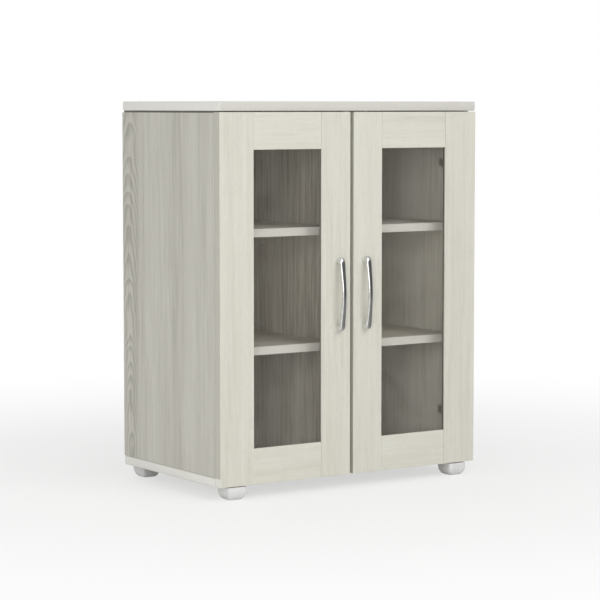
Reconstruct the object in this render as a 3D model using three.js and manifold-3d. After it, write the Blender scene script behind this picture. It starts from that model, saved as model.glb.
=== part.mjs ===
// A two-door towel cabinet with glazed doors, in white-washed oak board on four moulded feet.
// Millimetres, +Z up. The doors face -Y, and the origin is on the floor under the middle of the
// cabinet and its handles. The left half is modelled, and the right half mirrors it in x = 0.

import * as THREE from 'three';
import { mergeVertices } from 'three/addons/utils/BufferGeometryUtils.js';
import Module from 'manifold-3d';

// ---- Driving dimensions ----
const WIDTH = 600; // over the side panels
const DEPTH = 360; // from the door faces to the back edges
const HEIGHT = 746; // from the floor to the top
const SLAB = 18; // top and bottom panels
const BOARD = 16; // side panels, divider and shelves
const SEAM = 0.2; // between boards that meet
const SHADOW_GAP = { height: 3, depth: 4 }; // cut along the side panels, under the top
const EDGE = 2.5; // rounding of the slabs' edges
const CORNER = 4; // rounding of the slabs' corners

const FOOT = { size: 42, height: 25, inset: 18, setback: 0, round: 8, facets: 5 };

const BACK_BOARD = { thick: 5, inset: 10, tongue: 6 }; // slides in grooves round the carcass

// The gaps above the doors and between them, behind them and under them.
const DOOR = { thick: 18, gap: 2, middleGap: 7.5, standoff: 1, foot: 1.5 };
const STILE = 75; // on the hinge side
const HANDLE_STILE = 67.5;
const RAIL = 70;
const REBATE = { width: 8, lip: 4 }; // the step that the glass lies in, and the frame in front of it
const GLASS = { thick: 4, lap: 7.5 };
const GLAZING_GAP = 0.3; // round the glass and its bead
const BEAD = { width: 3, depth: 4 }; // set back from the window's edge, so it hides behind the lip

const SHELF = { tops: [282, 506], front: 20, depth: 302, clear: 1 }; // front is behind the carcass edge
const PIN = { radius: 2.5, hole: 2.8, in: 6.5, out: 8.2, drill: 7, columns: [37, 285] };
const PIN_PITCH = 32; // spare holes above and below each shelf

const HANDLE = { x: -31, z: 378, centres: 128, width: 12, reach: 22, post: 12 };
const BOW = { ends: 14, thick: 7, overhang: 10, round: 1.2 }; // reach at the ends, and past the posts
// The bow's rounded end, and the corner where its inside turns into a post.
const BOW_CORNER = { end: 6, drop: 3, rise: 1, run: 5, crest: 1.5 };
const SCREW = { radius: 2, head: 4, headHeight: 2.2, hole: 2.4, thread: 2.3, bite: 7, spare: 2 };

// The hinges, as (u, v) in from the side panel's outer face and in from the door's back face.
const HINGE_HEIGHTS = { lower: 125, upper: 625 };
const CUP = { u: 22.5, radius: 17.5, wall: 0.8, depth: 12.5, clear: 0.3 };
const FLANGE = { radius: 19.5, v: [0.1, 0.7] }; // the cup's rim, on the door's back face
const EAR = { u: 28.5, z: 24, radius: 5.5, hole: 2 }; // the cup's screw ears
const CUP_PIVOT = { u: 10, v: -5 };
const ARM_PIVOT = { u: 29.6, v: 0 };
const PIVOT = { pin: 1.5, hole: 1.8 };
const LINK = { halfHeight: 4.5, halfWidth: 1.8, bow: Math.PI / 2.6, cupEye: 3, armEye: 3.2 };
const ARM = { nose: 4.5, halfHeight: 7.2, slot: 4.9, slotEnd: 6, inner: 19.6, outer: 29, end: 62 };
const NECK = { trim: 0.2, tilt: 1, end: 12, lap: 1 }; // where the arm's nose widens into its body
const PLATE = { v: [30, 52], halfHeight: 23, clear: 0.3 }; // the arm's mounting plate

// ---- Derived places ----
const FRONT = HANDLE.reach - (DEPTH + HANDLE.reach) / 2; // the doors' outer faces
const BACK = FRONT + DEPTH;
const DOOR_BACK = FRONT + DOOR.thick;
const CARCASS_FRONT = DOOR_BACK + DOOR.standoff;
const FLOOR = FOOT.height + SLAB; // top of the bottom panel
const CEILING = HEIGHT - SLAB; // underside of the top panel
const GROOVE_BACK = BACK - BACK_BOARD.inset;
const GROOVE_FRONT = GROOVE_BACK - BACK_BOARD.thick;
const DOOR_BOTTOM = FOOT.height + DOOR.foot;
const DOOR_TOP = CEILING - DOOR.gap;
const WINDOW = {
  x: [-WIDTH / 2 + STILE, -DOOR.middleGap / 2 - HANDLE_STILE],
  z: [FOOT.height + RAIL, DOOR_TOP - RAIL],
};
const BAY = [-WIDTH / 2 + BOARD, -BOARD / 2]; // clear width of the left half
const PIN_COLUMNS = PIN.columns.map((setback) => CARCASS_FRONT + setback);
const PIN_ROWS = SHELF.tops.map((top) => top - BOARD - PIN.radius - SEAM);

// ---- Finishes ----
const FINISHES = {
  whiteOak: { color: 0xd9d7cc, roughness: 0.6, metalness: 0 },
  greyOak: { color: 0xb2b0a6, roughness: 0.65, metalness: 0 },
  backBoard: { color: 0x9a988e, roughness: 0.7, metalness: 0 },
  glass: { color: 0xe8eeec, roughness: 0.05, metalness: 0, transparent: true, opacity: 0.25 },
  plastic: { color: 0xe2e2e2, roughness: 0.45, metalness: 0 },
  softBead: { color: 0x4f4940, roughness: 0.6, metalness: 0 },
  satinMetal: { color: 0xb9b9b6, roughness: 0.3, metalness: 1 },
  nickel: { color: 0xc4c2bc, roughness: 0.28, metalness: 1 },
};

// ---- Solid modelling ----
const wasm = await Module();
wasm.setup();

function toSolid(geometry) {
  const bare = geometry.clone();
  bare.deleteAttribute('normal');
  bare.deleteAttribute('uv');
  const merged = mergeVertices(bare, 1e-3);
  const vertProperties = merged.attributes.position.array;
  const triVerts = new Uint32Array(merged.index.array);
  return new wasm.Manifold(new wasm.Mesh({ numProp: 3, vertProperties, triVerts }));
}

function toGeometry(solid) {
  const mesh = solid.getMesh();
  const geometry = new THREE.BufferGeometry();
  geometry.setAttribute('position', new THREE.BufferAttribute(mesh.vertProperties, mesh.numProp));
  geometry.setIndex(new THREE.BufferAttribute(mesh.triVerts, 1));
  geometry.computeVertexNormals();
  return geometry;
}

function cut(geometry, cutters) {
  const remove = (solid, cutter) => solid.subtract(toSolid(cutter));
  return toGeometry(cutters.reduce(remove, toSolid(geometry)));
}

function join(geometries) {
  return toGeometry(geometries.map(toSolid).reduce((whole, solid) => whole.add(solid)));
}

function keepInside(geometry, envelope) {
  return toGeometry(toSolid(geometry).intersect(toSolid(envelope)));
}

// ---- Plain shapes ----
function box([x0, x1], [y0, y1], [z0, z1]) {
  const geometry = new THREE.BoxGeometry(x1 - x0, y1 - y0, z1 - z0);
  return geometry.translate((x0 + x1) / 2, (y0 + y1) / 2, (z0 + z1) / 2);
}

// A round bar along one axis, from one value to another on it, centred on the other two axes'
// values in at.
function bar(axis, radius, [from, to], at, segments = 24) {
  const geometry = new THREE.CylinderGeometry(radius, radius, to - from, segments);
  geometry.translate(0, (from + to) / 2, 0);
  if (axis === 'x') geometry.rotateZ(-Math.PI / 2);
  if (axis === 'z') geometry.rotateX(Math.PI / 2);
  const [a, b] = at;
  const moves = { x: [0, a, b], y: [a, 0, b], z: [a, b, 0] };
  return geometry.translate(...moves[axis]);
}

function roundedRectangle([x0, x1], [y0, y1], radius) {
  const shape = new THREE.Shape();
  shape.moveTo(x0 + radius, y0);
  shape.lineTo(x1 - radius, y0);
  shape.absarc(x1 - radius, y0 + radius, radius, -Math.PI / 2, 0);
  shape.lineTo(x1, y1 - radius);
  shape.absarc(x1 - radius, y1 - radius, radius, 0, Math.PI / 2);
  shape.lineTo(x0 + radius, y1);
  shape.absarc(x0 + radius, y1 - radius, radius, Math.PI / 2, Math.PI);
  shape.lineTo(x0, y0 + radius);
  shape.absarc(x0 + radius, y0 + radius, radius, Math.PI, Math.PI * 1.5);
  return shape;
}

// The shape, swept along +Z from z0 to z1 inside its own outline, with rounded rims.
function roundedPlate(shape, [z0, z1], round, bevelSegments = 2) {
  const geometry = new THREE.ExtrudeGeometry(shape, {
    depth: z1 - z0 - 2 * round,
    bevelThickness: round,
    bevelSize: round,
    bevelOffset: -round,
    bevelSegments,
    curveSegments: 4,
  });
  return geometry.translate(0, 0, z0 + round);
}

function plainPlate(shape, [z0, z1]) {
  const options = { depth: z1 - z0, bevelEnabled: false, curveSegments: 10 };
  return new THREE.ExtrudeGeometry(shape, options).translate(0, 0, z0);
}

function piece(parent, name, geometry, finish, [x, y, z] = [0, 0, 0]) {
  const mesh = new THREE.Mesh(geometry, new THREE.MeshStandardMaterial(FINISHES[finish]));
  mesh.name = name;
  mesh.position.set(x, y, z);
  parent.add(mesh);
}

// ---- Carcass ----
const SIDE_X = [-WIDTH / 2, WIDTH / 2];
const UPRIGHT_Z = [FLOOR + SEAM, CEILING - SEAM];
const GROOVE_Y = [GROOVE_FRONT - SEAM, GROOVE_BACK + SEAM];
const BACK_X = [BAY[0] - BACK_BOARD.tongue, -BAY[0] + BACK_BOARD.tongue];
const BACK_Z = [FLOOR - BACK_BOARD.tongue, CEILING + BACK_BOARD.tongue];
const widen = ([low, high], gap) => [low - gap, high + gap];

function slab(yRange, zRange) {
  const plate = roundedPlate(roundedRectangle(SIDE_X, yRange, CORNER), zRange, EDGE);
  return cut(plate, [box(widen(BACK_X, SEAM), GROOVE_Y, widen(BACK_Z, SEAM))]);
}

// Blind holes for the shelf pins: one at each pin, and a spare one above and below it.
function pinHoles([from, to]) {
  const rows = PIN_ROWS.flatMap((row) => [row - PIN_PITCH, row, row + PIN_PITCH]);
  const hole = (y, z) => bar('x', PIN.hole, [from, to], [y, z], 10);
  return PIN_COLUMNS.flatMap((y) => rows.map((z) => hole(y, z)));
}

function divider() {
  const upright = box([-BOARD / 2, BOARD / 2], [CARCASS_FRONT, GROOVE_FRONT - SEAM], UPRIGHT_Z);
  const left = pinHoles([BAY[1] - 1, BAY[1] + PIN.drill]);
  const right = pinHoles([-BAY[1] - PIN.drill, -BAY[1] + 1]);
  return cut(upright, [...left, ...right]);
}

function sidePanel() {
  const upright = box([SIDE_X[0], BAY[0]], [CARCASS_FRONT, BACK], UPRIGHT_Z);
  const groove = box([BACK_X[0] - SEAM, BAY[0] + 1], GROOVE_Y, widen(UPRIGHT_Z, 1));
  const shadowGap = box(
    [SIDE_X[0] - 1, SIDE_X[0] + SHADOW_GAP.depth],
    widen([CARCASS_FRONT, BACK], 1),
    [UPRIGHT_Z[1] - SHADOW_GAP.height, CEILING],
  );
  return cut(upright, [groove, shadowGap, ...pinHoles([BAY[0] - PIN.drill, BAY[0] + 1])]);
}

function carcass(parent) {
  const top = slab([FRONT, BACK], [CEILING, HEIGHT]);
  const bottom = slab([CARCASS_FRONT, BACK], [FOOT.height, FLOOR]);
  piece(parent, 'top_panel', top, 'whiteOak');
  piece(parent, 'bottom_panel', bottom, 'whiteOak');
  piece(parent, 'centre_divider', divider(), 'greyOak');
  piece(parent, 'back_panel', box(BACK_X, [GROOVE_FRONT, GROOVE_BACK], BACK_Z), 'backBoard');
}

// A square block with rounded upright corners and a rounded lower rim. Its origin is on the floor.
function foot() {
  const span = [-FOOT.size / 2, FOOT.size / 2];
  const height = FOOT.height - SEAM;
  const outline = roundedRectangle(span, span, FOOT.round + SEAM);
  const block = roundedPlate(outline, [0, 2 * height], FOOT.round, FOOT.facets);
  return keepInside(block, box(span, span, [0, height]));
}

function feet(parent, side) {
  const x = SIDE_X[0] + FOOT.inset + FOOT.size / 2;
  const front = FRONT + FOOT.setback + FOOT.size / 2;
  const back = BACK - FOOT.setback - FOOT.size / 2;
  piece(parent, `${side}_front_foot`, foot(), 'plastic', [x, front, 0]);
  piece(parent, `${side}_rear_foot`, foot(), 'plastic', [x, back, 0]);
}

// ---- Shelves ----
// A plain pin along +X with a rounded nose. Its origin is where it leaves the board.
function shelfPin() {
  const nose = PIN.radius * 0.7;
  const profile = [
    new THREE.Vector2(0, -PIN.in),
    new THREE.Vector2(PIN.radius, -PIN.in),
    new THREE.Vector2(PIN.radius, PIN.out - nose / 2),
    new THREE.Vector2(PIN.radius - nose / 2, PIN.out),
    new THREE.Vector2(0, PIN.out),
  ];
  return new THREE.LatheGeometry(profile, 10).rotateZ(-Math.PI / 2);
}

function shelves(parent, side) {
  const width = BAY[1] - BAY[0] - 2 * SHELF.clear;
  const middle = (BAY[0] + BAY[1]) / 2;
  const depthMiddle = CARCASS_FRONT + SHELF.front + SHELF.depth / 2;
  ['lower', 'upper'].forEach((level, i) => {
    const board = new THREE.BoxGeometry(width, SHELF.depth, BOARD);
    const place = [middle, depthMiddle, SHELF.tops[i] - BOARD / 2];
    piece(parent, `${side}_${level}_shelf`, board, 'greyOak', place);
    ['front', 'rear'].forEach((end, column) => {
      const y = PIN_COLUMNS[column];
      const outer = shelfPin();
      const inner = shelfPin().rotateZ(Math.PI);
      const name = `${side}_${level}_${end}`;
      piece(parent, `${name}_outer_pin`, outer, 'nickel', [BAY[0], y, PIN_ROWS[i]]);
      piece(parent, `${name}_inner_pin`, inner, 'nickel', [BAY[1], y, PIN_ROWS[i]]);
    });
  });
}

// ---- Doors ----
const DOOR_Y = [FRONT, DOOR_BACK];
const STEP_X = widen(WINDOW.x, REBATE.width);
const STEP_Z = widen(WINDOW.z, REBATE.width);
const STEP_Y = [FRONT + REBATE.lip, DOOR_BACK + 1];
const OPENING_Y = widen(DOOR_Y, 1);

function hingeStile() {
  const board = box([SIDE_X[0], WINDOW.x[0]], DOOR_Y, [DOOR_BOTTOM, DOOR_TOP]);
  const bore = (z) => {
    const depth = [DOOR_BACK - CUP.depth - CUP.clear, DOOR_BACK + 1];
    return bar('y', CUP.radius + CUP.clear, depth, [SIDE_X[0] + CUP.u, z], 32);
  };
  const bores = Object.values(HINGE_HEIGHTS).map(bore);
  return cut(board, [box(STEP_X, STEP_Y, STEP_Z), ...bores]);
}

function handleStile() {
  const board = box([WINDOW.x[1], -DOOR.middleGap / 2], DOOR_Y, [DOOR_BOTTOM, DOOR_TOP]);
  const half = HANDLE.centres / 2;
  const bore = (z) => bar('y', SCREW.hole, OPENING_Y, [HANDLE.x, z], 16);
  const bores = [bore(HANDLE.z - half), bore(HANDLE.z + half)];
  return cut(board, [box(STEP_X, STEP_Y, STEP_Z), ...bores]);
}

function rail(zRange) {
  const board = box(widen(WINDOW.x, -SEAM), DOOR_Y, zRange);
  return cut(board, [box(STEP_X, STEP_Y, STEP_Z)]);
}

function glazingBead(yRange) {
  const outside = box(widen(WINDOW.x, GLASS.lap), yRange, widen(WINDOW.z, GLASS.lap));
  const lap = GLASS.lap - BEAD.width;
  return cut(outside, [box(widen(WINDOW.x, lap), OPENING_Y, widen(WINDOW.z, lap))]);
}

function doorPanel(parent, side) {
  const glassFront = STEP_Y[0] + GLAZING_GAP;
  const glassY = [glassFront, glassFront + GLASS.thick];
  const beadFront = glassY[1] + GLAZING_GAP;
  const beadY = [beadFront, beadFront + BEAD.depth];
  const glass = box(widen(WINDOW.x, GLASS.lap), glassY, widen(WINDOW.z, GLASS.lap));
  piece(parent, `${side}_hinge_stile`, hingeStile(), 'whiteOak');
  piece(parent, `${side}_handle_stile`, handleStile(), 'whiteOak');
  piece(parent, `${side}_top_rail`, rail([WINDOW.z[1], DOOR_TOP]), 'whiteOak');
  piece(parent, `${side}_bottom_rail`, rail([DOOR_BOTTOM, WINDOW.z[0]]), 'whiteOak');
  piece(parent, `${side}_glass`, glass, 'glass');
  piece(parent, `${side}_glazing_bead`, glazingBead(beadY), 'softBead');
}

// ---- Handles ----
// The bow's outline as (along, out): up one post, over the bow, down the other post and back
// under the bow. Its origin is on the door's face, midway between the screws.
function bowOutline() {
  const end = HANDLE.centres / 2 + BOW.overhang;
  const inside = HANDLE.centres / 2 - HANDLE.post / 2;
  const outside = HANDLE.centres / 2 + HANDLE.post / 2;
  const shoulder = BOW.ends - BOW.thick;
  const inner = HANDLE.reach - BOW.thick;
  const crest = shoulder + BOW_CORNER.crest;
  const top = BOW.ends + BOW_CORNER.rise;
  const shape = new THREE.Shape();
  shape.moveTo(outside, SEAM);
  shape.lineTo(end, shoulder);
  shape.quadraticCurveTo(end, BOW.ends, end - BOW_CORNER.end, top);
  shape.quadraticCurveTo(0, 2 * HANDLE.reach - top, BOW_CORNER.end - end, top);
  shape.quadraticCurveTo(-end, BOW.ends, -end, shoulder);
  shape.lineTo(-outside, SEAM);
  shape.lineTo(-inside, SEAM);
  shape.lineTo(-inside, shoulder - BOW_CORNER.drop);
  shape.quadraticCurveTo(-inside, shoulder + BOW_CORNER.rise, BOW_CORNER.run - inside, crest);
  shape.quadraticCurveTo(0, 2 * inner - crest, inside - BOW_CORNER.run, crest);
  shape.quadraticCurveTo(inside, shoulder + BOW_CORNER.rise, inside, shoulder - BOW_CORNER.drop);
  shape.lineTo(inside, SEAM);
  return shape;
}

function handle() {
  const half = HANDLE.width / 2;
  const bow = roundedPlate(bowOutline(), [-half, half], BOW.round);
  const across = new THREE.Vector3(1, 0, 0);
  const up = new THREE.Vector3(0, 0, 1);
  const out = new THREE.Vector3(0, -1, 0);
  bow.applyMatrix4(new THREE.Matrix4().makeBasis(up, out, across));
  const depth = [-SCREW.bite - SCREW.spare, 1];
  const bore = (z) => bar('y', SCREW.thread, depth, [0, z], 16);
  return cut(bow, [bore(HANDLE.centres / 2), bore(-HANDLE.centres / 2)]);
}

// A pan-head screw along -Y. Its origin is under its head.
function handleScrew() {
  const shank = bar('y', SCREW.radius, [-DOOR.thick - SCREW.bite, 1], [0, 0], 12);
  const head = bar('y', SCREW.head, [SEAM, SCREW.headHeight + SEAM], [0, 0], 20);
  return join([shank, head]);
}

function handleAndScrews(parent, side) {
  const half = HANDLE.centres / 2;
  piece(parent, `${side}_handle`, handle(), 'satinMetal', [HANDLE.x, FRONT, HANDLE.z]);
  const places = { lower: HANDLE.z - half, upper: HANDLE.z + half };
  for (const [level, z] of Object.entries(places)) {
    const name = `${side}_${level}_handle_screw`;
    piece(parent, name, handleScrew(), 'nickel', [HANDLE.x, DOOR_BACK, z]);
  }
}

// ---- Concealed hinges, in (u, v, z) about the hinge's height ----
// The cup pressed into the door, with its screw ears and the pin that the link swings on.
function hingeCup() {
  const ears = [-EAR.z, EAR.z].map((z) => bar('y', EAR.radius, FLANGE.v, [EAR.u, z], 12));
  const earHoles = [-EAR.z, EAR.z].map((z) => bar('y', EAR.hole, [-1, 3], [EAR.u, z], 8));
  const strap = box([EAR.u - EAR.radius, EAR.u + EAR.radius], FLANGE.v, [-EAR.z, EAR.z]);
  const round = bar('y', CUP.radius, [-CUP.depth, FLANGE.v[1]], [CUP.u, 0], 32);
  const shell = join([
    round,
    bar('y', FLANGE.radius, FLANGE.v, [CUP.u, 0], 32),
    strap,
    ...ears,
  ]);
  const cavity = bar('y', CUP.radius - CUP.wall, [CUP.wall - CUP.depth, 3], [CUP.u, 0], 32);
  const pinZ = [-CUP.radius, CUP.radius];
  const pin = bar('z', PIVOT.pin, pinZ, [CUP_PIVOT.u, CUP_PIVOT.v], 12);
  return join([cut(shell, [cavity, ...earHoles]), keepInside(pin, round)]);
}

// The curved link between the two pivots. It bows into the cup so that it clears the door's edge.
function hingeLink() {
  const du = ARM_PIVOT.u - CUP_PIVOT.u;
  const dv = ARM_PIVOT.v - CUP_PIVOT.v;
  const chord = Math.hypot(du, dv);
  const radius = chord / 2 / Math.sin(LINK.bow);
  const rise = radius * Math.cos(LINK.bow);
  const centreU = (CUP_PIVOT.u + ARM_PIVOT.u) / 2 - (dv / chord) * rise;
  const centreV = (CUP_PIVOT.v + ARM_PIVOT.v) / 2 + (du / chord) * rise;
  const from = Math.atan2(CUP_PIVOT.v - centreV, CUP_PIVOT.u - centreU);
  const to = Math.atan2(ARM_PIVOT.v - centreV, ARM_PIVOT.u - centreU);
  const band = new THREE.Shape();
  band.absarc(centreU, centreV, radius + LINK.halfWidth, from, to);
  band.absarc(centreU, centreV, radius - LINK.halfWidth, to, from, true);
  const span = [-LINK.halfHeight, LINK.halfHeight];
  const eye = (radiusAt, { u, v }, range) => bar('z', radiusAt, range, [u, v], 16);
  const solid = join([
    plainPlate(band, span),
    eye(LINK.cupEye, CUP_PIVOT, span),
    eye(LINK.armEye, ARM_PIVOT, span),
  ]);
  const through = widen(span, 1);
  return cut(solid, [eye(PIVOT.hole, CUP_PIVOT, through), eye(PIVOT.hole, ARM_PIVOT, through)]);
}

// The arm inside the cabinet: a forked nose with its pin, a body and the plate that is screwed
// to the side panel.
function hingeArm() {
  const noseEdge = ARM.nose - NECK.trim;
  const outline = new THREE.Shape([
    new THREE.Vector2(ARM_PIVOT.u - noseEdge, ARM_PIVOT.v - NECK.tilt),
    new THREE.Vector2(ARM.outer, NECK.end),
    new THREE.Vector2(ARM.outer, ARM.end),
    new THREE.Vector2(ARM.inner, ARM.end),
    new THREE.Vector2(ARM.inner, ARM.slotEnd + NECK.lap),
  ]);
  const neck = new THREE.Shape([
    new THREE.Vector2(ARM_PIVOT.u - noseEdge, ARM_PIVOT.v - NECK.tilt),
    new THREE.Vector2(ARM_PIVOT.u + noseEdge, ARM_PIVOT.v + NECK.tilt),
    new THREE.Vector2(ARM.outer, NECK.end + NECK.lap),
    new THREE.Vector2(ARM.inner + NECK.lap, NECK.end + NECK.lap),
  ]);
  const span = [-ARM.halfHeight, ARM.halfHeight];
  const body = join([
    plainPlate(outline, span),
    plainPlate(neck, span),
    bar('z', ARM.nose, span, [ARM_PIVOT.u, ARM_PIVOT.v], 24),
  ]);
  const slot = box([0, ARM.outer + 10], [-ARM.nose - 1, ARM.slotEnd], [-ARM.slot, ARM.slot]);
  const plateZ = [-PLATE.halfHeight, PLATE.halfHeight];
  return join([
    cut(body, [slot]),
    bar('z', PIVOT.pin, span, [ARM_PIVOT.u, ARM_PIVOT.v], 12),
    box([BOARD + PLATE.clear, ARM.inner + NECK.lap], PLATE.v, plateZ),
  ]);
}

function hinges(parent, side) {
  for (const [level, z] of Object.entries(HINGE_HEIGHTS)) {
    const hinge = new THREE.Group();
    hinge.position.set(SIDE_X[0], DOOR_BACK, z);
    piece(hinge, `${side}_${level}_hinge_cup`, hingeCup(), 'nickel');
    piece(hinge, `${side}_${level}_hinge_link`, hingeLink(), 'nickel');
    piece(hinge, `${side}_${level}_hinge_arm`, hingeArm(), 'nickel');
    parent.add(hinge);
  }
}

// ---- The cabinet ----
const cabinet = new THREE.Group();
carcass(cabinet);
for (const side of ['left', 'right']) {
  const half = new THREE.Group();
  half.scale.x = side === 'left' ? 1 : -1;
  piece(half, `${side}_side_panel`, sidePanel(), 'greyOak');
  feet(half, side);
  shelves(half, side);
  doorPanel(half, side);
  handleAndScrews(half, side);
  hinges(half, side);
  cabinet.add(half);
}

export default cabinet;
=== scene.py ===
"""Looks for the towel cabinet: oak-grain boards, clear panes, bow handles, feet and hinge screws."""

import math

import bmesh
import bpy
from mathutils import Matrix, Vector


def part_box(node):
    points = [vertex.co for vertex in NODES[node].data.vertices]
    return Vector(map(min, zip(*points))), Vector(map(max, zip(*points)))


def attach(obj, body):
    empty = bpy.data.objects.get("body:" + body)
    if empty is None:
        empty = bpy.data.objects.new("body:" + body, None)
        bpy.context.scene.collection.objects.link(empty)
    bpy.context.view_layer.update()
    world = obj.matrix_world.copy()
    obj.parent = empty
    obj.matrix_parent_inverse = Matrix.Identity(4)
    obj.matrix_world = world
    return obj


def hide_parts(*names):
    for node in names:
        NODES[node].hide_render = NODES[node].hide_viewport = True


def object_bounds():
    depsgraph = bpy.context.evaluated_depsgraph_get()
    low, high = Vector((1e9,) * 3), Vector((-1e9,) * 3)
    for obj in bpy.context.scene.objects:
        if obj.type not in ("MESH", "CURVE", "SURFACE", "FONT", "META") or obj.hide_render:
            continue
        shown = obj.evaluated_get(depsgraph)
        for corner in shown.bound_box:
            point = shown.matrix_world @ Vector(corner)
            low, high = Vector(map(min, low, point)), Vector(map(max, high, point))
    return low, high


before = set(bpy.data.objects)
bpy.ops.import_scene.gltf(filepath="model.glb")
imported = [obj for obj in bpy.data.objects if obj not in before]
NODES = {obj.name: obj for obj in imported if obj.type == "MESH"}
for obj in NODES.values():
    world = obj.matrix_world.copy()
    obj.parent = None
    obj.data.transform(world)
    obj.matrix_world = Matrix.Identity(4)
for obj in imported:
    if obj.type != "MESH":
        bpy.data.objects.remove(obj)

MM = 0.001
SIDES = ("left", "right")
LEVELS = ("lower", "upper")
cad_low, cad_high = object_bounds()

# ---- Camera ----
LENS = 136.0
CAMERA_PLACE = Vector((-2.5196, -3.7165, 0.7386))
CAMERA_YAW = math.radians(34.067)
CAMERA_PITCH = math.radians(4.91)

# ---- Finishes, as linear colours ----
WHITE_OAK = {"dark": (0.590, 0.575, 0.495), "mid": (0.668, 0.655, 0.575), "light": (0.716, 0.704, 0.628)}
# the side panels' oak: the door's oak made darker and greyer, partly its own tone and partly painted
# shade of the sides
SIDE_OAK_WITH_PAINTED_SHADE = {"dark": (0.405, 0.394, 0.342), "mid": (0.555, 0.543, 0.480), "light": (0.650, 0.640, 0.580)}
INNER_OAK = {"dark": (0.450, 0.410, 0.348), "mid": (0.672, 0.628, 0.552), "light": (0.790, 0.755, 0.685)}
# painted light: lighter tones for the side panels' inner faces, standing in for the light inside the
# cabinet
PAINTED_LIGHT_LINING = {"dark": (0.600, 0.565, 0.500), "mid": (0.810, 0.778, 0.705), "light": (0.880, 0.858, 0.800)}
BACK_OAK = {"dark": (0.430, 0.402, 0.345), "mid": (0.640, 0.608, 0.540), "light": (0.750, 0.725, 0.660)}
# the slab's white edge band, painted lighter on the side faces than on the front, as the light that the
# side strips catch
SLAB_BANDS_PAINTED_LIGHT = {"x": (0.830, 0.820, 0.775), "y": (0.605, 0.594, 0.553)}
# painted shade: the door edges that look to the sides are grey, as shade at the cabinet's side and in
# the middle gap
DOOR_EDGES_PAINTED_SHADE = {"x": (0.520, 0.508, 0.450)}
# painted light: the door's outer edge beside the bottom panel is light, like the slab's side band
DOOR_FOOT_PAINTED_LIGHT = (0.800, 0.790, 0.745)  # the door's outer band, beside the bottom panel
SHELF_BANDS = {"x": (0.765, 0.755, 0.710), "y": (0.840, 0.815, 0.770)}
# lighter colour for the rounded edges: partly wear, partly a painted highlight
WORN_AND_HIGHLIGHT_EDGE = (0.790, 0.780, 0.720)
PORE = (0.300, 0.280, 0.225)
# painted shade: the dark tone of the groove under the top, along the side panels
SHADOW_TONE = (0.190, 0.176, 0.152)
GLASS_TINT = (0.965, 0.966, 0.956)
GLASS_DUST = (0.800, 0.780, 0.740)
# painted shade: near-black tones for the glazing bead, as the shade in the reveal behind the glass
BEAD_PAINTED_SHADE_TONES = ((0.050, 0.041, 0.033), (0.105, 0.092, 0.078))
PLASTIC_TONES = ((0.700, 0.698, 0.690), (0.740, 0.738, 0.730))
# a darker tone for the feet, in patches towards the floor
PLASTIC_LOW_TONE = (0.500, 0.490, 0.460)
SATIN_NICKEL = (0.860, 0.860, 0.850)
NICKEL = (0.760, 0.750, 0.720)


# ---- Node graphs ----
class Graph:
    """Adds nodes to one tree, and links them."""

    def __init__(self, tree):
        self.tree = tree

    def add(self, kind, **settings):
        node = self.tree.nodes.new(kind)
        for key, value in settings.items():
            setattr(node, key, value)
        return node

    def feed(self, socket, value):
        if isinstance(value, bpy.types.NodeSocket):
            self.tree.links.new(value, socket)
        elif value is not None:
            socket.default_value = value

    def math(self, operation, *values, clamp=False):
        node = self.add("ShaderNodeMath", operation=operation, use_clamp=clamp)
        for socket, value in zip(node.inputs, values):
            self.feed(socket, value)
        return node.outputs[0]

    def noise(self, vector, scale, detail=3.0, roughness=0.5, distortion=0.0):
        node = self.add("ShaderNodeTexNoise")
        self.feed(node.inputs["Vector"], vector)
        node.inputs["Scale"].default_value = scale
        node.inputs["Detail"].default_value = detail
        node.inputs["Roughness"].default_value = roughness
        node.inputs["Distortion"].default_value = distortion
        return node.outputs["Fac"]

    def spread(self, value, low, high, to_low=0.0, to_high=1.0):
        """Takes low..high to to_low..to_high, and holds it there outside."""
        node = self.add("ShaderNodeMapRange", interpolation_type="SMOOTHSTEP")
        for socket, number in zip(node.inputs, (value, low, high, to_low, to_high)):
            self.feed(socket, number)
        return node.outputs[0]

    def mix(self, factor, a, b):
        """Mixes two colours, from all of a at 0 to all of b at 1."""
        node = self.add("ShaderNodeMix", data_type="RGBA")
        self.feed(node.inputs[0], factor)
        self.feed(node.inputs[6], rgba(a))
        self.feed(node.inputs[7], rgba(b))
        return node.outputs[2]

    def blend(self, factor, first, second):
        """Mixes two shaders, from all of the first at 0 to all of the second at 1."""
        node = self.add("ShaderNodeMixShader")
        self.feed(node.inputs[0], factor)
        self.feed(node.inputs[1], first.outputs[0])
        self.feed(node.inputs[2], second.outputs[0])
        return node

    def ramp(self, factor, stops):
        node = self.add("ShaderNodeValToRGB")
        self.feed(node.inputs[0], factor)
        elements = node.color_ramp.elements
        while len(elements) < len(stops):
            elements.new(1.0)
        for element, (place, colour) in zip(elements, stops):
            element.position = place
            element.color = rgba(colour)
        return node.outputs["Color"]

    def join(self, x, y, z):
        node = self.add("ShaderNodeCombineXYZ")
        for socket, value in zip(node.inputs, (x, y, z)):
            self.feed(socket, value)
        return node.outputs[0]

    def split(self, vector):
        node = self.add("ShaderNodeSeparateXYZ")
        self.feed(node.inputs[0], vector)
        return dict(zip("xyz", node.outputs))

    def bump(self, height, depth, strength=1.0):
        node = self.add("ShaderNodeBump")
        self.feed(node.inputs["Height"], height)
        node.inputs["Distance"].default_value = depth
        node.inputs["Strength"].default_value = strength
        return node.outputs["Normal"]


def rgba(colour):
    if isinstance(colour, tuple) and len(colour) == 3:
        return (*colour, 1.0)
    return colour


def new_material(name):
    material = bpy.data.materials.new(name)
    material.use_nodes = True
    graph = Graph(material.node_tree)
    shader = material.node_tree.nodes["Principled BSDF"]
    return material, graph, shader


# ---- Wood ----
GRAIN_STRETCH = 1 / 26  # scales the place along the grain, so that the noises are drawn out there
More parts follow.
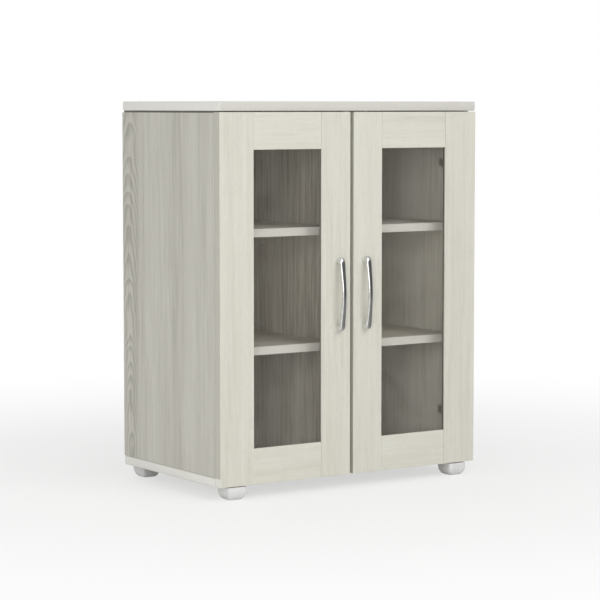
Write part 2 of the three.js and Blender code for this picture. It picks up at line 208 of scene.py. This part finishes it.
# Noises over the grain, as (scale, detail, roughness, distortion).
GRAIN_NOISES = {
    "broad": (17.0, 2.0, 0.5, 0.0),
    "streaks": (120.0, 4.0, 0.62, 0.3),
    "fibres": (820.0, 3.0, 0.6, 0.0),
    "dashes": (1500.0, 2.0, 0.55, 0.0),
}
PATCH_NOISE = (5.0, 2.0)  # scale and detail of a noise that isn't stretched
TONE_SHARES = {"broad": 0.55, "streaks": 0.90, "fibres": 0.35, "patches": 0.20}
PORES = {"from": 0.600, "to": 0.680, "share": 0.22, "rough": 0.10}
SWAY = 12.0 * MM  # how far the broad streaks wander along a board
RING = 3.2 * MM  # the space between two rings of the cathedral figure
RING_LEAN = {"slope": 0.072, "start": 0.030, "wander": 0.016}  # how the rings' axis leaves the board
ARCH_WIDE = 45.0 * MM  # on each side of the heart
ARCH_TONE = -0.50
FLECK_SHARE = 0.25  # of the streaks that show on an edge band
WOOD_ROUGH = (0.50, 0.62)
WOOD_RELIEF = 0.12 * MM
WOOD_SPECULAR = 0.38

SHADOW_HEIGHT = 3.15 * MM  # of the groove under the top, along the side panels
BOTTOM_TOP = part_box("bottom_panel")[1].z
panel_low, panel_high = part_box("right_side_panel")
LINING_WITHIN = (panel_low.x + panel_high.x) / 2  # the middle of a side panel's thickness


def edge_mask(graph):
    """1 on the rounded edges of a board, and 0 on its flat faces."""
    normal = graph.split(graph.add("ShaderNodeTexCoord").outputs["Normal"])
    size = [graph.math("ABSOLUTE", normal[axis]) for axis in "xyz"]
    largest = graph.math("MAXIMUM", graph.math("MAXIMUM", size[0], size[1]), size[2])
    return graph.spread(largest, 0.985, 0.86)


def facing(graph, axis):
    """How far a face looks along an axis, either way."""
    normal = graph.split(graph.add("ShaderNodeTexCoord").outputs["Normal"])
    return graph.spread(graph.math("ABSOLUTE", normal[axis]), 0.35, 0.8)


def cathedral(graph, across, along, heart):
    """Nested arches down the line at heart, from rings about an axis that leans out of the board."""
    wander = graph.noise(graph.join(across, 0.0, along), 9.0, 2.0)
    beside = graph.math("SUBTRACT", across, heart)
    lean = graph.math("MULTIPLY_ADD", along, RING_LEAN["slope"], RING_LEAN["start"])
    shifted = graph.math("MULTIPLY_ADD", wander, RING_LEAN["wander"], lean)
    near = graph.math("MULTIPLY", beside, beside)
    far = graph.math("MULTIPLY", shifted, shifted)
    radius = graph.math("SQRT", graph.math("ADD", near, far))
    turns = graph.math("FRACT", graph.math("DIVIDE", radius, RING))
    late = graph.math("MULTIPLY", graph.spread(turns, 0.15, 0.82), graph.spread(turns, 1.0, 0.86))
    close = graph.spread(graph.math("ABSOLUTE", beside), ARCH_WIDE, 0.45 * ARCH_WIDE)
    return graph.math("MULTIPLY", late, close)


def stained(graph, tone, tones):
    """The colour that a tone from 0 to 1 has in a set of dark, mid and light tones."""
    return graph.ramp(tone, [(0.0, tones["dark"]), (0.5, tones["mid"]), (1.0, tones["light"])])


def grain_noises(graph, where, place, along, across):
    """The noises that a board's tone and relief are made from, by name."""
    depth = next(axis for axis in "xyz" if axis not in (along, across))
    squeezed = graph.math("MULTIPLY", place[along], GRAIN_STRETCH)
    grain = graph.join(place[across], place[depth], squeezed)
    noises = {name: graph.noise(grain, *numbers) for name, numbers in GRAIN_NOISES.items()}
    noises["patches"] = graph.noise(where, *PATCH_NOISE)
    return noises


def streak_tone(graph, across, along, profile):
    """The tone that a profile gives, which sways a little across the board."""
    sway = graph.noise(graph.join(0.0, 0.0, along), 3.0, 2.0)
    swayed = graph.math("MULTIPLY_ADD", sway, SWAY, across)
    low, high = profile[0][0], profile[-1][0]
    share = graph.math("DIVIDE", graph.math("SUBTRACT", swayed, low), high - low)
    stops = [((at - low) / (high - low), (tone,) * 3) for at, tone in profile]
    return graph.ramp(share, stops)


def board_tone(graph, noises, across, along, contrast, heart, profile):
    """A board's tone: 0 is dark, 0.5 is the mid tone and 1 is light."""
    tone = 0.5
    for name, share in TONE_SHARES.items():
        centred = graph.math("SUBTRACT", noises[name], 0.5)
        tone = graph.math("MULTIPLY_ADD", centred, share * contrast, tone)
    if profile:
        streak = streak_tone(graph, across, along, profile)
        tone = graph.math("ADD", tone, graph.math("SUBTRACT", streak, 0.5))
    if heart is not None:
        arches = cathedral(graph, across, along, heart)
        tone = graph.math("MULTIPLY_ADD", arches, ARCH_TONE, tone)
    return tone


def banded_with_painted_shading(graph, colour, place, fleck, light, bands_and_painted_shading, foot_painted_light):
    """Puts edge band colours on the faces that look along their axes, with light flecks in them: on the
    slab's sides they hold painted light, and on the door edges painted shade.
    """
    for axis, band in bands_and_painted_shading.items():
        # painted light: beside the bottom panel, the outer edge takes the lighter foot colour
        if foot_painted_light:
            low = graph.math("LESS_THAN", place["z"], BOTTOM_TOP)
            outermost = graph.math("GREATER_THAN", graph.math("ABSOLUTE", place["x"]), LINING_WITHIN)
            band = graph.mix(graph.math("MULTIPLY", low, outermost), band, foot_painted_light)
        flecked = graph.mix(fleck, band, light)
        colour = graph.mix(facing(graph, axis), colour, flecked)
    return colour


def oak(name, tones, along, across, contrast=1.0, heart=None, profile=None, bands_and_painted_shading=None,
        foot_painted_light=None, painted_light_lining=None, shadow=None):
    """Oak-grain laminate, with its grain along one axis of the board and its figure across another.

    heart is the place across the board where the grain arches. profile lists (place across, tone)
    for broad streaks. bands_and_painted_shading gives the colour of the faces that look along an
    axis: an edge band, which holds painted light on the slab's sides and painted shade on the door
    edges. foot_painted_light is a lighter colour for them beside the bottom panel, painted light.
    painted_light_lining gives lighter tones to the faces that look into the cabinet, as painted
    light, and shadow a height above which the board is painted dark, as shade in the groove under the
    top.
    """
    material, graph, shader = new_material(name)
    where = graph.add("ShaderNodeTexCoord").outputs["Object"]
    place = graph.split(where)
    noises = grain_noises(graph, where, place, along, across)
    streaks = noises["streaks"]
    pores = graph.spread(noises["dashes"], PORES["from"], PORES["to"])
    tone = board_tone(graph, noises, place[across], place[along], contrast, heart, profile)

    colour = stained(graph, tone, tones)
    # painted light: the faces that look into the cabinet get lighter tones, standing in for the light
    # inside it
    if painted_light_lining:
        inside = graph.math("LESS_THAN", graph.math("ABSOLUTE", place["x"]), LINING_WITHIN)
        colour = graph.mix(inside, colour, stained(graph, tone, painted_light_lining))
    colour = graph.mix(graph.math("MULTIPLY", pores, PORES["share"]), colour, PORE)
    if bands_and_painted_shading:
        fleck = graph.math("MULTIPLY", streaks, FLECK_SHARE)
        colour = banded_with_painted_shading(graph, colour, place, fleck, tones["light"], bands_and_painted_shading, foot_painted_light)
    # the rounded edges are made lighter: partly wear, partly a painted highlight where they catch the
    # light
    wear_and_highlight = graph.math("MULTIPLY", edge_mask(graph), graph.spread(streaks, 0.35, 0.65, 0.15, 0.6))
    colour = graph.mix(wear_and_highlight, colour, WORN_AND_HIGHLIGHT_EDGE)
    # painted shade: the board is dark above this height, as the shade in the groove under the top
    if shadow:
        high = graph.math("GREATER_THAN", place["z"], shadow)
        colour = graph.mix(high, colour, SHADOW_TONE)

    graph.feed(shader.inputs["Base Color"], colour)
    roughness = graph.spread(streaks, 0.3, 0.7, *WOOD_ROUGH)
    graph.feed(shader.inputs["Roughness"], graph.math("MULTIPLY_ADD", pores, PORES["rough"], roughness))
    relief = graph.math("MULTIPLY_ADD", pores, -1.0, graph.math("MULTIPLY", noises["fibres"], 0.5))
    graph.feed(shader.inputs["Normal"], graph.bump(relief, WOOD_RELIEF, 0.6))
    shader.inputs["Specular IOR Level"].default_value = WOOD_SPECULAR
    return material


# ---- Other finishes ----
HEAD_ON_MIRROR = 0.04  # the share that glass mirrors when it is seen straight on
DUST_SHARE = (0.02, 0.045)
DULLED = 0.86  # a dull patch's tone, as a share of the bright one
BRUSH_STRETCH = 1 / 30


def clear_glass():
    """A faintly dusty pane that mirrors a little, more at a low angle, and lets the rest through."""
    material, graph, shader = new_material("clear_glass")
    graph.tree.nodes.remove(shader)
    weight = graph.add("ShaderNodeLayerWeight")
    weight.inputs["Blend"].default_value = 0.5
    steep = graph.math("POWER", weight.outputs["Facing"], 5.0)
    share = graph.math("MULTIPLY_ADD", steep, 1 - HEAD_ON_MIRROR, HEAD_ON_MIRROR)
    place = graph.add("ShaderNodeTexCoord").outputs["Object"]
    smears = graph.noise(place, 22.0, 3.0, 0.6, 0.8)
    mirror = graph.add("ShaderNodeBsdfAnisotropic")
    graph.feed(mirror.inputs["Roughness"], graph.spread(smears, 0.45, 0.75, 0.015, 0.07))
    through = graph.add("ShaderNodeBsdfTransparent")
    through.inputs["Color"].default_value = rgba(GLASS_TINT)
    dust = graph.add("ShaderNodeBsdfDiffuse")
    dust.inputs["Color"].default_value = rgba(GLASS_DUST)
    dusty = graph.blend(graph.spread(smears, 0.3, 0.8, *DUST_SHARE), through, dust)
    both = graph.blend(share, dusty, mirror)
    output = graph.tree.nodes["Material Output"]
    graph.feed(output.inputs["Surface"], both.outputs[0])
    return material


def soft_bead():
    """The frame that holds a pane from behind, painted near-black as the shade in the reveal behind the
    glass, with a dusty mottle.
    """
    material, graph, shader = new_material("soft_bead")
    place = graph.add("ShaderNodeTexCoord").outputs["Object"]
    dust = graph.noise(place, 140.0, 4.0, 0.6)
    grit = graph.noise(place, 1800.0, 2.0)
    colour = graph.ramp(dust, list(zip((0.35, 0.75), BEAD_PAINTED_SHADE_TONES)))
    graph.feed(shader.inputs["Base Color"], colour)
    graph.feed(shader.inputs["Roughness"], graph.spread(dust, 0.3, 0.7, 0.52, 0.70))
    graph.feed(shader.inputs["Normal"], graph.bump(grit, 0.04 * MM, 0.5))
    return material


def moulded_plastic():
    """Light plastic with a fine texture, darker in patches towards the floor."""
    material, graph, shader = new_material("moulded_plastic")
    place = graph.add("ShaderNodeTexCoord").outputs["Object"]
    mottle = graph.noise(place, 60.0, 3.0)
    spark = graph.noise(place, 2600.0, 2.0)
    height = graph.split(place)["z"]
    # darker in patches towards the floor
    low_darkening = graph.math("MULTIPLY", graph.spread(height, 0.012, 0.0), graph.spread(mottle, 0.4, 0.65))
    clean = graph.ramp(mottle, list(zip((0.3, 0.7), PLASTIC_TONES)))
    colour = graph.mix(graph.math("MULTIPLY", low_darkening, 0.45), clean, PLASTIC_LOW_TONE)
    graph.feed(shader.inputs["Base Color"], colour)
    graph.feed(shader.inputs["Roughness"], graph.spread(mottle, 0.3, 0.7, 0.38, 0.52))
    graph.feed(shader.inputs["Normal"], graph.bump(spark, 0.05 * MM, 0.5))
    return material


def metal(name, tone, rough, brush_axis, brush):
    """Plated metal with fine brush lines along one axis, and a duller tone in patches."""
    material, graph, shader = new_material(name)
    where = graph.add("ShaderNodeTexCoord").outputs["Object"]
    squeezed = graph.split(where)
    squeezed[brush_axis] = graph.math("MULTIPLY", squeezed[brush_axis], BRUSH_STRETCH)
    lines = graph.noise(graph.join(*squeezed.values()), 2400.0, 2.0)
    patches = graph.noise(where, 90.0, 3.0)
    dull = tuple(DULLED * value for value in tone)
    graph.feed(shader.inputs["Base Color"], graph.mix(graph.spread(patches, 0.35, 0.7), tone, dull))
    shader.inputs["Metallic"].default_value = 1.0
    low, high = rough
    rubbed = graph.spread(patches, 0.3, 0.7, low, high)
    graph.feed(shader.inputs["Roughness"], graph.math("MULTIPLY_ADD", lines, 0.06, rubbed))
    graph.feed(shader.inputs["Normal"], graph.bump(lines, 0.02 * MM, brush))
    return material


# ---- Shaping that keeps the CAD meshes as they are ----
MERGE_WITHIN = 0.004 * MM
SMOOTH_BELOW = math.radians(32)
ROUND_ABOVE = math.radians(40)


def smoothing_nodes():
    """Joins a node's loose triangles, and shades it smooth except across sharp edges."""
    group = bpy.data.node_groups.new("smooth_by_angle", "GeometryNodeTree")
    group.interface.new_socket("Geometry", in_out="INPUT", socket_type="NodeSocketGeometry")
    group.interface.new_socket("Geometry", in_out="OUTPUT", socket_type="NodeSocketGeometry")
    graph = Graph(group)
    start = graph.add("NodeGroupInput")
    merge = graph.add("GeometryNodeMergeByDistance")
    merge.inputs["Distance"].default_value = MERGE_WITHIN
    faces = graph.add("GeometryNodeSetShadeSmooth", domain="FACE")
    edges = graph.add("GeometryNodeSetShadeSmooth", domain="EDGE")
    angle = graph.add("GeometryNodeInputMeshEdgeAngle")
    soft = graph.add("FunctionNodeCompare", data_type="FLOAT", operation="LESS_THAN")
    end = graph.add("NodeGroupOutput")
    graph.feed(soft.inputs[0], angle.outputs["Unsigned Angle"])
    soft.inputs[1].default_value = SMOOTH_BELOW
    graph.feed(merge.inputs["Geometry"], start.outputs[0])
    graph.feed(faces.inputs["Geometry"], merge.outputs["Geometry"])
    graph.feed(edges.inputs["Geometry"], faces.outputs["Geometry"])
    graph.feed(edges.inputs["Shade Smooth"], soft.outputs[0])
    graph.feed(end.inputs[0], edges.outputs["Geometry"])
    return group


def finish_node(name, material, smoothing, edge=None):
    """Gives a CAD node its material, and rounds its edges by edge metres if that is set."""
    node = NODES[name]
    node.material_slots[0].link = "OBJECT"
    node.material_slots[0].material = material
    joined = node.modifiers.new("joined", "NODES")
    joined.node_group = smoothing
    if edge:
        bevel = node.modifiers.new("edges", "BEVEL")
        bevel.width = edge
        bevel.segments = 3
        bevel.limit_method = "ANGLE"
        bevel.angle_limit = ROUND_ABOVE
        bevel.harden_normals = True
        bevel.miter_outer = "MITER_ARC"


# ---- New pieces ----
def mesh_piece(name, rings, material, body, levels=1):
    """A closed solid through rings of points, capped at both ends, and subdivided levels times."""
    mesh = bmesh.new()
    made = [[mesh.verts.new(point) for point in ring] for ring in rings]
    count = len(made[0])
    for low, high in zip(made, made[1:]):
        for i in range(count):
            j = (i + 1) % count
            mesh.faces.new((low[i], low[j], high[j], high[i]))
    mesh.faces.new(list(reversed(made[0])))
    mesh.faces.new(made[-1])
    bmesh.ops.recalc_face_normals(mesh, faces=mesh.faces)
    data = bpy.data.meshes.new(name)
    mesh.to_mesh(data)
    mesh.free()
    for face in data.polygons:
        face.use_smooth = True
    data.materials.append(material)
    piece = bpy.data.objects.new(name, data)
    bpy.context.scene.collection.objects.link(piece)
    if levels:
        subdivision = piece.modifiers.new("smooth", "SUBSURF")
        subdivision.levels = levels
        subdivision.render_levels = levels
    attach(piece, body)
    return piece


def superellipse(half_a, half_b, squareness, count):
    """Points round a rounded rectangle: 2 gives an ellipse, and a larger value squarer corners."""
    points = []
    for i in range(count):
        turn = 2 * math.pi * (i + 0.5) / count
        cosine, sine = math.cos(turn), math.sin(turn)
        a = half_a * math.copysign(abs(cosine) ** (2 / squareness), cosine)
        b = half_b * math.copysign(abs(sine) ** (2 / squareness), sine)
        points.append((a, b))
    return points


# The handle's bow as (along, out, half width, half thickness), in mm, from one post to the middle.
POST_AND_BOW = (
    (-64.0, 0.2, 6.6, 6.2),
    (-64.0, 0.7, 6.6, 6.2),
    (-64.1, 1.6, 6.2, 5.9),
    (-64.8, 3.9, 6.0, 5.9),
    (-66.0, 6.8, 6.0, 6.2),
    (-65.6, 9.4, 6.0, 5.4),
    (-62.6, 11.4, 6.0, 4.2),
    (-56.5, 12.7, 5.8, 3.5),
    (-46.0, 14.2, 5.4, 3.4),
    (-34.0, 15.9, 5.0, 3.3),
    (-20.0, 17.5, 4.7, 3.3),
    (-7.0, 18.5, 4.5, 3.3),
)
HANDLE_SQUARENESS = 3.2
HANDLE_POINTS = 24


def handle(side, material):
    """A bow handle as one smooth sweep, whose first and last sections lie on the door."""
    node = f"{side}_handle"
    low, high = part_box(node)
    first_out = POST_AND_BOW[0][1]
    centre = Vector(((low.x + high.x) / 2, high.y + first_out * MM, (low.z + high.z) / 2))
    other = [(-along, out, wide, thick) for along, out, wide, thick in reversed(POST_AND_BOW)]
    path = list(POST_AND_BOW) + other
    rings = []
    for i, (along, out, wide, thick) in enumerate(path):
        before, after = path[max(i - 1, 0)], path[min(i + 1, len(path) - 1)]
        direction = Vector((after[0] - before[0], after[1] - before[1])).normalized()
        ring = []
        for a, b in superellipse(wide, thick, HANDLE_SQUARENESS, HANDLE_POINTS):
            reach = out + direction.x * b
            height = along - direction.y * b
            ring.append(centre + Vector((a, -reach, height)) * MM)
        rings.append(ring)
    piece = mesh_piece(f"{side}_bow_handle", rings, material, f"{side}_door", 2)
    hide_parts(node)


# A foot's sections as (height, inset) in mm, from the sole up.
FOOT_SECTIONS = (
    (0.0, 11.5), (0.0, 11.0), (0.3, 9.0), (1.0, 7.4), (2.0, 5.9), (3.5, 4.5), (6.0, 2.8), (10.0, 1.1),
    (14.0, 0.3), (18.0, 0.0), (23.6, 0.0), (24.3, 0.15), (24.7, 0.55), (24.8, 1.1),
)
FOOT_SQUARENESS = 8.5
FOOT_POINTS = 48


def foot(side, end, material):
    """A block foot with rounded corners, which draws in towards its sole."""
    node = f"{side}_{end}_foot"
    low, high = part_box(node)
    middle, half = (low + high) / 2, (high - low) / 2
    rings = []
    for height, inset in FOOT_SECTIONS:
        half_a, half_b = half.x - inset * MM, half.y - inset * MM
        outline = superellipse(half_a, half_b, FOOT_SQUARENESS, FOOT_POINTS)
        level = low.z + height * MM
        rings.append([Vector((middle.x + a, middle.y + b, level)) for a, b in outline])
    piece = mesh_piece(f"{side}_{end}_moulded_foot", rings, material, "carcass")
    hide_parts(node)


SCREW_TURNS = 28
SCREW_RINGS = 9
RIM_SHARE = 0.45  # of a screw head's height, at its rim
RECESS = {"half_width": 0.13, "reach": 0.62, "depth": 0.55}  # as shares of the radius and height


def ring_round(place, side, other, radius):
    turns = [2 * math.pi * j / SCREW_TURNS for j in range(SCREW_TURNS)]
    return [place + (side * math.cos(t) + other * math.sin(t)) * radius for t in turns]


def screw_head(name, place, out, radius, height, material, body):
    """A domed head with a cross recess. place is under the head, and out is the way it looks."""
    side = Vector((0, 0, 1))
    other = out.cross(side)
    rings = [ring_round(place, side, other, radius)]
    for i in range(SCREW_RINGS):
        share = 1 - i / SCREW_RINGS
        ring = []
        for j in range(SCREW_TURNS):
            turn = 2 * math.pi * j / SCREW_TURNS
            a, b = share * math.cos(turn), share * math.sin(turn)
            dome = height * (RIM_SHARE + (1 - RIM_SHARE) * math.sqrt(1 - share**2))
            crossed = min(abs(a), abs(b)) < RECESS["half_width"] and share < RECESS["reach"]
            recess = RECESS["depth"] * height if crossed else 0.0
            ring.append(place + (side * a + other * b) * radius + out * (dome - recess))
        rings.append(ring)
    return mesh_piece(name, rings, material, body, 0)


# The screws in a cup's ears and in a mounting plate, in mm from the cup's rim, from the side panel,
# from the arm's front end and from the hinge's middle.
EAR = {"from_rim": 25.5, "up": 24.0, "radius": 3.4, "height": 1.8}
PLATE = {"face": 4.3, "along": 45.5, "up": 16.5, "radius": 3.6, "height": 1.9}


def hinge_screws(side, level, material):
    """The two screws of a hinge cup, on the door, and the two of its plate, on the carcass."""
    inward = 1 if side == "left" else -1
    cup_low, cup_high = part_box(f"{side}_{level}_hinge_cup")
    arm_low, arm_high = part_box(f"{side}_{level}_hinge_arm")
    rim, wall = (cup_low.x, arm_low.x) if side == "left" else (cup_high.x, arm_high.x)
    middle = (cup_low.z + cup_high.z) / 2
    for end, way in (("lower", -1), ("upper", 1)):
        place = Vector((rim + inward * EAR["from_rim"] * MM, cup_high.y, middle + way * EAR["up"] * MM))
        name = f"{side}_{level}_cup_screw_{end}"
        size = (EAR["radius"] * MM, EAR["height"] * MM)
        screw_head(name, place, Vector((0, 1, 0)), *size, material, f"{side}_door")
        x = wall + inward * PLATE["face"] * MM
        place = Vector((x, arm_low.y + PLATE["along"] * MM, middle + way * PLATE["up"] * MM))
        name = f"{side}_{level}_plate_screw_{end}"
        size = (PLATE["radius"] * MM, PLATE["height"] * MM)
        screw_head(name, place, Vector((inward, 0, 0)), *size, material, "carcass")


# ---- Finishes on the pieces ----
BOARD_EDGE = 0.6 * MM
DOOR_EDGE = 0.9 * MM
METAL_EDGE = 0.25 * MM

# Broad streaks over a side panel, from its front edge to its back edge.
SIDE_PROFILE = (
    (-0.150, 0.52), (-0.124, 0.58), (-0.064, 0.62), (-0.034, 0.56), (-0.022, 0.36), (0.002, 0.38),
    (0.018, 0.62), (0.076, 0.66), (0.104, 0.60), (0.116, 0.44), (0.131, 0.48), (0.191, 0.54),
)
SIDE_HEART = 0.164  # near the back edge


def dress():
    """Gives every CAD node its finish, and returns the nickel for the new screws."""
    smoothing = smoothing_nodes()
    upright = oak("oak_upright", WHITE_OAK, "z", "x", 1.4, bands_and_painted_shading=DOOR_EDGES_PAINTED_SHADE, foot_painted_light=DOOR_FOOT_PAINTED_LIGHT)
    crosswise = oak("oak_crosswise", WHITE_OAK, "x", "z", 1.4)
    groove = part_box("top_panel")[0].z - SHADOW_HEIGHT
    outside = oak("oak_side", SIDE_OAK_WITH_PAINTED_SHADE, "z", "y", 1.5, heart=SIDE_HEART, profile=SIDE_PROFILE,
                  painted_light_lining=PAINTED_LIGHT_LINING, shadow=groove)
    slab = oak("oak_slab", WHITE_OAK, "x", "y", bands_and_painted_shading=SLAB_BANDS_PAINTED_LIGHT)
    shelf = oak("oak_shelf", INNER_OAK, "x", "y", bands_and_painted_shading=SHELF_BANDS)
    back = oak("oak_back", BACK_OAK, "z", "x", 2.4)
    divider = oak("oak_divider", INNER_OAK, "z", "y", 3.0)
    glass = clear_glass()
    bead = soft_bead()
    nickel = metal("nickel", NICKEL, (0.34, 0.46), "z", 0.15)

    for name in ("top_panel", "bottom_panel"):
        finish_node(name, slab, smoothing, BOARD_EDGE)
    finish_node("centre_divider", divider, smoothing, BOARD_EDGE)
    finish_node("back_panel", back, smoothing, BOARD_EDGE)
    for side in SIDES:
        finish_node(f"{side}_side_panel", outside, smoothing, BOARD_EDGE)
        for part, wood in (
            ("hinge_stile", upright),
            ("handle_stile", upright),
            ("top_rail", crosswise),
            ("bottom_rail", crosswise),
            ("glazing_bead", bead),
        ):
            finish_node(f"{side}_{part}", wood, smoothing, DOOR_EDGE)
        finish_node(f"{side}_glass", glass, smoothing, METAL_EDGE)
        for level in LEVELS:
            finish_node(f"{side}_{level}_shelf", shelf, smoothing, BOARD_EDGE)
            finish_node(f"{side}_{level}_handle_screw", nickel, smoothing, METAL_EDGE)
            for part in ("cup", "link", "arm"):
                finish_node(f"{side}_{level}_hinge_{part}", nickel, smoothing, METAL_EDGE)
            for end in ("front_outer", "front_inner", "rear_outer", "rear_inner"):
                finish_node(f"{side}_{level}_{end}_pin", nickel, smoothing, METAL_EDGE)
    return nickel


def detail(nickel):
    """Adds the new pieces: the handles, the feet and the hinge screws."""
    satin = metal("satin_nickel", SATIN_NICKEL, (0.13, 0.21), "z", 0.25)
    plastic = moulded_plastic()
    for side in SIDES:
        handle(side, satin)
        for end in ("front", "rear"):
            foot(side, end, plastic)
        for level in LEVELS:
            hinge_screws(side, level, nickel)


# ---- Studio ----
# name, azimuth, elevation, distance, (width, height), watts
LIGHTS = (
    ("key", 12, 38, 3.2, (1.8, 1.8), 37.0),
    ("beside_camera", -38, 10, 3.6, (1.6, 1.6), 38.0),
    ("left_box", -100, 14, 3.0, (2.2, 2.1), 12.0),
    ("top", 0, 82, 3.0, (2.4, 2.4), 6.0),
    ("behind", 172, 32, 3.4, (2.2, 2.2), 12.0),
)
BACKDROP = (1.0, 1.0, 1.0)
AMBIENT = 0.42
SHADE = {"way": (0.573, -0.819, -0.05), "clear": 0.80, "full": 0.96, "light": 0.08}  # a dark card
FLOOR_TONES = ((0.860, 0.860, 0.850), (0.880, 0.880, 0.875))
FLOOR_RADIUS = 2.6
FLOOR_CARD = {"from": -0.20, "to": 0.45, "tone": (0.20, 0.20, 0.20)}  # the dark card's side, in mirrors
FLOOR_GLOW = (0.25, 1.9, 0.60, 1.0)  # from and to these metres, these shares of it are the backdrop


def backdrop():
    """A white backdrop for the camera, and for all else a dim light with a dark card to one side."""
    world = bpy.data.worlds.new("studio")
    bpy.context.scene.world = world
    world.use_nodes = True
    graph = Graph(world.node_tree)
    background = world.node_tree.nodes["Background"]
    seen = graph.add("ShaderNodeLightPath").outputs["Is Camera Ray"]
    toward = graph.add("ShaderNodeVectorMath", operation="DOT_PRODUCT")
    graph.feed(toward.inputs[0], graph.add("ShaderNodeTexCoord").outputs["Generated"])
    toward.inputs[1].default_value = SHADE["way"]
    card = (toward.outputs["Value"], SHADE["clear"], SHADE["full"])
    unseen = graph.spread(*card, AMBIENT, SHADE["light"])
    white = graph.math("SUBTRACT", 1.0, unseen)
    graph.feed(background.inputs["Color"], rgba(BACKDROP))
    graph.feed(background.inputs["Strength"], graph.math("MULTIPLY_ADD", seen, white, unseen))


def floor_material():
    """A pale floor that fades into the backdrop, and is dark on one side in mirrors only."""
    material, graph, shader = new_material("floor")
    place = graph.add("ShaderNodeTexCoord").outputs["Object"]
    path = graph.add("ShaderNodeLightPath")
    mottle = graph.noise(place, 6.0, 3.0)
    rightward = graph.spread(graph.split(place)["x"], FLOOR_CARD["from"], FLOOR_CARD["to"])
    mirrored = graph.math("MULTIPLY", path.outputs["Is Glossy Ray"], rightward)
    tone = graph.mix(mottle, *FLOOR_TONES)
    graph.feed(shader.inputs["Base Color"], graph.mix(mirrored, tone, FLOOR_CARD["tone"]))
    shader.inputs["Roughness"].default_value = 0.7

    distance = graph.add("ShaderNodeVectorMath", operation="LENGTH")
    graph.feed(distance.inputs[0], place)
    faded = graph.spread(distance.outputs["Value"], *FLOOR_GLOW)
    share = graph.math("MULTIPLY", faded, path.outputs["Is Camera Ray"])
    glow = graph.add("ShaderNodeEmission")
    glow.inputs["Color"].default_value = rgba(BACKDROP)
    both = graph.blend(share, shader, glow)
    graph.feed(graph.tree.nodes["Material Output"].inputs["Surface"], both.outputs[0])
    return material


def floor():
    mesh = bmesh.new()
    bmesh.ops.create_circle(mesh, cap_ends=True, radius=FLOOR_RADIUS, segments=96)
    data = bpy.data.meshes.new("floor")
    mesh.to_mesh(data)
    mesh.free()
    data.materials.append(floor_material())
    plane = bpy.data.objects.new("floor", data)
    bpy.context.scene.collection.objects.link(plane)


def soft_light(name, azimuth, elevation, distance, size, power):
    """A soft light that looks at the cabinet. Azimuth 0 is in front, and 90 at the right."""
    aim = (cad_low + cad_high) / 2
    a, e = math.radians(azimuth), math.radians(elevation)
    way = Vector((math.sin(a) * math.cos(e), -math.cos(a) * math.cos(e), math.sin(e)))
    data = bpy.data.lights.new(name, "AREA")
    data.shape = "RECTANGLE"
    data.size, data.size_y = size
    data.energy = power
    lamp = bpy.data.objects.new(name, data)
    lamp.location = aim + way * distance
    lamp.rotation_euler = way.to_track_quat("Z", "Y").to_euler()
    lamp.visible_camera = False
    bpy.context.scene.collection.objects.link(lamp)


def camera():
    data = bpy.data.cameras.new("camera")
    data.sensor_width = 36.0
    data.lens = LENS
    data.clip_start = 0.05
    data.clip_end = 60.0
    eye = bpy.data.objects.new("camera", data)
    level = math.cos(CAMERA_PITCH)
    look = Vector((math.sin(CAMERA_YAW) * level, math.cos(CAMERA_YAW) * level, -math.sin(CAMERA_PITCH)))
    eye.location = CAMERA_PLACE
    eye.rotation_euler = look.to_track_quat("-Z", "Y").to_euler()
    bpy.context.scene.collection.objects.link(eye)
    bpy.context.scene.camera = eye


def studio():
    view = bpy.context.scene.view_settings
    view.view_transform = "Standard"
    backdrop()
    floor()
    for light in LIGHTS:
        soft_light(*light)


camera()
nickel = dress()
detail(nickel)
studio()
